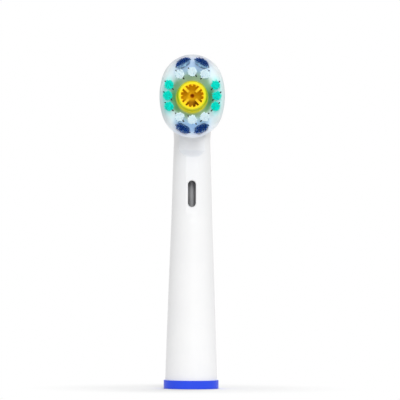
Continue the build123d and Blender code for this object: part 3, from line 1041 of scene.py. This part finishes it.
@dataclass
class Neck:
    """The still part: white neck, blue ring, pivot pin and the collar inside."""

    dresser: Dresser

    def build(self) -> list[Piece]:
        """Finish its solids, and list them."""
        return self.dresser.dress({
            "neck_housing": Finish.WHITE_PLASTIC,
            "colour_ring": Finish.RING_BLUE,
            "pivot_pin": Finish.STEEL,
            "retaining_collar": Finish.NATURAL_PLASTIC,
        })


@dataclass
class Drive:
    """The rocking drive inside the neck: coupling, leaf spring and cranked rod."""

    dresser: Dresser

    def build(self) -> list[Piece]:
        """Finish its solids, and list them."""
        return self.dresser.dress({
            "drive_coupling": Finish.NATURAL_PLASTIC,
            "coupling_spring": Finish.STEEL,
            "drive_rod": Finish.STEEL,
        })


def stand_on_plate(mesh: bpy.types.Mesh, node: str) -> Piece:
    """Make a mesh a piece that rides on the plate.

    Args:
        mesh: The mesh, in its place.
        node: The solid that it replaces.

    Returns:
        The piece.
    """
    piece = add_object(mesh.name, mesh)
    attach(piece, "carrier")
    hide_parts(node)
    return piece


@dataclass
class PolishingCup:
    """The soft cup on the plate, in millimetres and degrees, with heights from the plate's front."""

    plug_radius: float = 3.3
    plug_depth: float = 1.5
    foot_radius: float = 3.58
    foot_height: float = 0.02
    wall_top: Pair = (3.252, 5.5)
    rim_radius: float = 3.04
    rim_height: float = 5.7
    mouth_radius: float = 2.62
    floor_height: float = 1.7
    hole_radius: float = 0.45
    hole_height: float = 0.4
    sides: int = 64
    places: int = 16
    ribs: int = 4
    first_rib: float = 45.0
    fin_radius: float = 2.8
    fin_top: float = 5.3
    rib_length: float = 1.65
    rib_width: float = 0.6
    tooth_length: float = 0.7
    tooth_width: float = 0.62
    edge_angle: float = 30.0
    join_distance: float = 0.0001

    def build(self) -> Piece:
        """Turn the cup and stand its fins in it.

        Returns:
            The cup, riding on the plate in place of its solid.
        """
        shape = self._turned()
        fins = self._fins()
        shape.from_mesh(fins)
        bpy.data.meshes.remove(fins)
        mesh = bpy.data.meshes.new("finned_cup")
        shape.to_mesh(mesh)
        shape.free()
        mesh.materials.append(Finish.SOFT_YELLOW.material())
        mesh.shade_smooth()
        mesh.set_sharp_from_angle(angle=math.radians(self.edge_angle))
        mesh.transform(Matrix.Translation((0.0, PLATE_FRONT_Y * MM, PIVOT_HEIGHT * MM)) @ FACING_FRONT)
        return stand_on_plate(mesh, "polishing_cup")

    def _turned(self) -> bmesh.types.BMesh:
        """Turn a profile of radii and heights about the axis of the cup.

        Returns:
            The wall, floor and plug.
        """
        profile = (
            (0.0, -self.plug_depth),
            (self.plug_radius, -self.plug_depth),
            (self.plug_radius, self.foot_height),
            (self.foot_radius, self.foot_height),
            self.wall_top,
            (self.rim_radius, self.rim_height),
            (self.mouth_radius, self.rim_height),
            (self.mouth_radius, self.floor_height),
            (self.hole_radius, self.floor_height),
            (self.hole_radius, self.hole_height),
            (0.0, self.hole_height),
        )
        shape = bmesh.new()
        corners = [shape.verts.new((radius * MM, 0.0, height * MM)) for radius, height in profile]
        edges = [shape.edges.new(pair) for pair in zip(corners, corners[1:])]
        bmesh.ops.spin(
            shape,
            geom=corners + edges,
            axis=(0.0, 0.0, 1.0),
            cent=(0.0, 0.0, 0.0),
            steps=self.sides,
            angle=math.tau,
            use_merge=True,
        )
        bmesh.ops.remove_doubles(shape, verts=shape.verts, dist=self.join_distance * MM)
        bmesh.ops.recalc_face_normals(shape, faces=shape.faces)
        return shape

    def _fins(self) -> bpy.types.Mesh:
        """Make the ribs and teeth.

        Returns:
            All of them, at their height in the cup.
        """
        fins = FinRing().grow("cup_fins", {
            "Places": self.places,
            "Places to a rib": float(self.places // self.ribs),
            "Wall radius": self.fin_radius * MM,
            "Height": (self.fin_top - self.floor_height) * MM,
            "Rib length": self.rib_length * MM,
            "Rib width": self.rib_width * MM,
            "Tooth length": self.tooth_length * MM,
            "Tooth width": self.tooth_width * MM,
            "Finish": Finish.SOFT_YELLOW.material(),
        })
        top = Matrix.Translation((0.0, 0.0, self.fin_top * MM))
        fins.transform(top @ Matrix.Rotation(math.radians(self.first_rib), 4, "Z"))
        return fins


class TuftKind(Enum):
    """The three kinds of tuft, named as their solids are."""

    BLUE = "blue_tuft"
    WHITE = "white_tuft"
    TEAL = "teal_tuft"


@dataclass(frozen=True)
class TuftStyle:
    """How the tufts of one kind, six round ones if not said, are bundled, in millimetres and degrees."""

    kind: TuftKind
    finish: Finish
    trim: float
    half_length: float = 0.94
    half_width: float = 0.94
    corner: float = 2.0
    crown: float = 0.2
    spreads: tuple[float, ...] = (1.0,) * 6
    wanders: tuple[float, ...] = (0.5,) * 6
    tilts: tuple[float, ...] = (0.0,) * 6
    slants: tuple[float, ...] = (0.0,) * 6


@dataclass
class BristlePlate:
    """The rocking plate: clear carrier, polishing cup, anchors and sixteen filament tufts."""

    dresser: Dresser
    cup: PolishingCup
    pitch: float = 0.18
    filament_radius: float = 0.103
    root_gap: float = 0.03
    seed_step: int = 40
    styles: tuple[TuftStyle, ...] = (
        TuftStyle(
            TuftKind.BLUE,
            Finish.BLUE_FILAMENT,
            trim=0.45,
            half_length=1.68,
            half_width=0.8,
            corner=1.9,
            crown=0.15,
            spreads=(0.9, 0.9, -1.3, -1.3),
            wanders=(0.45, 0.45, 2.4, 2.4),
            tilts=(28.0, -28.0, -28.0, 28.0),
            slants=(1.5, 1.5, -0.7, -0.7),
        ),
        TuftStyle(TuftKind.WHITE, Finish.WHITE_FILAMENT, trim=0.04),
        TuftStyle(TuftKind.TEAL, Finish.TEAL_FILAMENT, trim=0.05),
    )

    def build(self) -> list[Piece]:
        """Finish its solids, and make the cup and the tufts in the place of theirs.

        Returns:
            Its pieces.
        """
        pieces = self.dresser.dress({
            "bristle_carrier": Finish.CLEAR_PLASTIC,
            "tuft_anchors": Finish.ANCHOR_METAL,
        })
        pieces.append(self.cup.build())
        bundle = FilamentBundle()
        for style in self.styles:
            for index in range(len(style.tilts)):
                pieces.append(self._tuft(bundle, style, index))
        return pieces

    def _tuft(self, bundle: FilamentBundle, style: TuftStyle, index: int) -> Piece:
        """Grow one tuft.

        Args:
            bundle: The tree that makes the filaments.
            style: Kind and trim of the tuft.
            index: Place of the tuft in its kind.

        Returns:
            The tuft, riding on the plate in place of its solid.
        """
        number = index + 1
        node = f"{style.kind.value}_{number}"
        low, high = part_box(node)
        root_y = high.y - self.root_gap * MM
        mesh = bundle.grow(node + "_filaments", {
            "Half length": style.half_length * MM,
            "Half width": style.half_width * MM,
            "Corner": style.corner,
            "Pitch": self.pitch * MM,
            "Columns": 2 * math.ceil(style.half_length / self.pitch) + 1,
            "Rows": 2 * math.ceil(style.half_width / self.pitch / ROW_SHARE) + 1,
            "Filament radius": self.filament_radius * MM,
            "Filament length": root_y - low.y,
            "Crown": style.crown * MM,
            "Slant": style.slants[index] * MM,
            "Trim": style.trim * MM,
            "Spread": math.radians(style.spreads[index]),
            "Wander": math.radians(style.wanders[index]),
            "Seed": self.seed_step * list(TuftKind).index(style.kind) + number,
            "Finish": style.finish.material(),
        })
        middle = (low + high) / 2
        root = Matrix.Translation((middle.x, root_y, middle.z))
        tilt = Matrix.Rotation(math.radians(style.tilts[index]), 4, "Z")
        mesh.transform(root @ FACING_FRONT @ tilt)
        return stand_on_plate(mesh, node)


@dataclass(frozen=True)
class Lamp:
    """One soft round lamp that faces the head, in metres and watts."""

    name: str
    place: Triple
    size: float
    power: float

    def hang(self, target: Vector) -> None:
        """Hang the lamp.

        Args:
            target: The point that it faces.
        """
        light = bpy.data.lights.new(self.name, "AREA")
        light.shape = "DISK"
        light.size = self.size
        light.energy = self.power
        lamp = add_object(self.name, light)
        lamp.location = self.place
        lamp.rotation_euler = (target - Vector(self.place)).to_track_quat("-Z", "Y").to_euler()


@dataclass
class PaleFloor:
    """A pale round floor that takes the shadow and fades into the white. Lengths are in millimetres."""

    radius: float = 90.0
    height: float = -0.05
    sides: int = 64
    colour: Colour = (0.93, 0.93, 0.93)
    shade: Colour = (0.9, 0.9, 0.9)
    mottle: float = 6.0
    mottle_share: float = 0.3
    fade_span: Span = (8.0, 40.5)

    def build(self) -> None:
        """Lay the floor."""
        mesh = bpy.data.meshes.new("pale_floor")
        corners = []
        for i in range(self.sides):
            turn = math.tau * i / self.sides
            place = (self.radius * math.cos(turn), self.radius * math.sin(turn), self.height)
            corners.append(Vector(place) * MM)
        mesh.from_pydata(corners, [], [list(range(self.sides))])
        mesh.materials.append(self._finish())
        add_object("pale_floor", mesh)

    def _finish(self) -> Material:
        """Make the floor's finish.

        Returns:
            A material that is matt under the head, and white to the camera further out.
        """
        skin = Surface("pale_floor")
        mottle = skin.noise(self.mottle, detail=3.0)
        colour = skin.mix(mottle * self.mottle_share, self.colour, self.shade)
        matt = skin.node("ShaderNodeBsdfDiffuse", None, {"Color": colour})
        white = skin.node("ShaderNodeEmission", None, {"Color": WHITE, "Strength": 1.0})
        path = skin.node("ShaderNodeLightPath")
        fade = distance(skin.x, skin.y).step(*self.fade_span)
        seen = Value(skin, path.outputs["Is Camera Ray"]) * fade
        blend = skin.node("ShaderNodeMixShader", None, {0: seen, 1: matt.outputs[0], 2: white.outputs[0]})
        skin.node("ShaderNodeOutputMaterial", None, {"Surface": blend.outputs[0]})
        return skin.material


@dataclass
class Studio:
    """Camera, light and white surroundings. Lengths are in metres, the roll in degrees."""

    camera_place: Triple = (0.00188, -1.300, 0.04357)
    camera_roll: float = -0.24
    camera_reach: Pair = (0.01, 20.0)
    view_width: float = 0.09255
    sensor: float = 36.0
    ambient: float = 0.6
    lamp_target: Triple = (0.0, 0.0, 0.045)
    lamps: tuple[Lamp, ...] = (
        Lamp("key_front", place=(0.09, -0.50, 0.28), size=0.24, power=1.3),
        Lamp("fill_right", place=(0.45, -0.25, 0.12), size=0.40, power=0.06),
        Lamp("top_back", place=(0.10, 0.35, 0.45), size=0.40, power=0.8),
    )

    def build(self) -> None:
        """Set everything up round the head."""
        bpy.context.scene.view_settings.view_transform = "Standard"
        self._camera()
        self._surroundings()
        for lamp in self.lamps:
            lamp.hang(Vector(self.lamp_target))
        PaleFloor().build()

    def _camera(self) -> None:
        """Place the camera: level, in front of the bristles, rolled as little as the photo is."""
        lens = bpy.data.cameras.new("front_camera")
        lens.sensor_width = self.sensor
        lens.lens = self.sensor * -self.camera_place[1] / self.view_width
        lens.clip_start, lens.clip_end = self.camera_reach
        camera = add_object("front_camera", lens)
        camera.location = self.camera_place
        camera.rotation_euler = (math.radians(90), math.radians(self.camera_roll), 0.0)
        bpy.context.scene.camera = camera

    def _surroundings(self) -> None:
        """Light the head evenly from all round, with white behind it."""
        world = bpy.data.worlds.new("white_surroundings")
        world.use_nodes = True
        world.node_tree.nodes.clear()
        nodes = NodeBuilder(world.node_tree)
        path = nodes.node("ShaderNodeLightPath")
        seen = Value(nodes, path.outputs["Is Camera Ray"])
        seen = seen + Value(nodes, path.outputs["Is Glossy Ray"])
        seen = (seen + Value(nodes, path.outputs["Is Transmission Ray"])).math("MINIMUM", 1.0)
        strength = seen * (1.0 - self.ambient) + self.ambient
        white = nodes.node("ShaderNodeBackground", None, {"Color": WHITE, "Strength": strength})
        nodes.node("ShaderNodeOutputWorld", None, {"Surface": white.outputs[0]})
        bpy.context.scene.world = world


def main() -> None:
    """Build the studio and the head's looks, and report each piece."""
    logging.basicConfig(level=logging.INFO, format="%(message)s")
    Studio().build()
    dresser = Dresser()
    for assembly in (Neck(dresser), Drive(dresser), BristlePlate(dresser, PolishingCup())):
        for piece in assembly.build():
            finish = piece.data.materials[-1].name
            LOG.info("%s: %d faces, %s", piece.name, len(piece.data.polygons), finish)


if __name__ == "__main__":
    main()
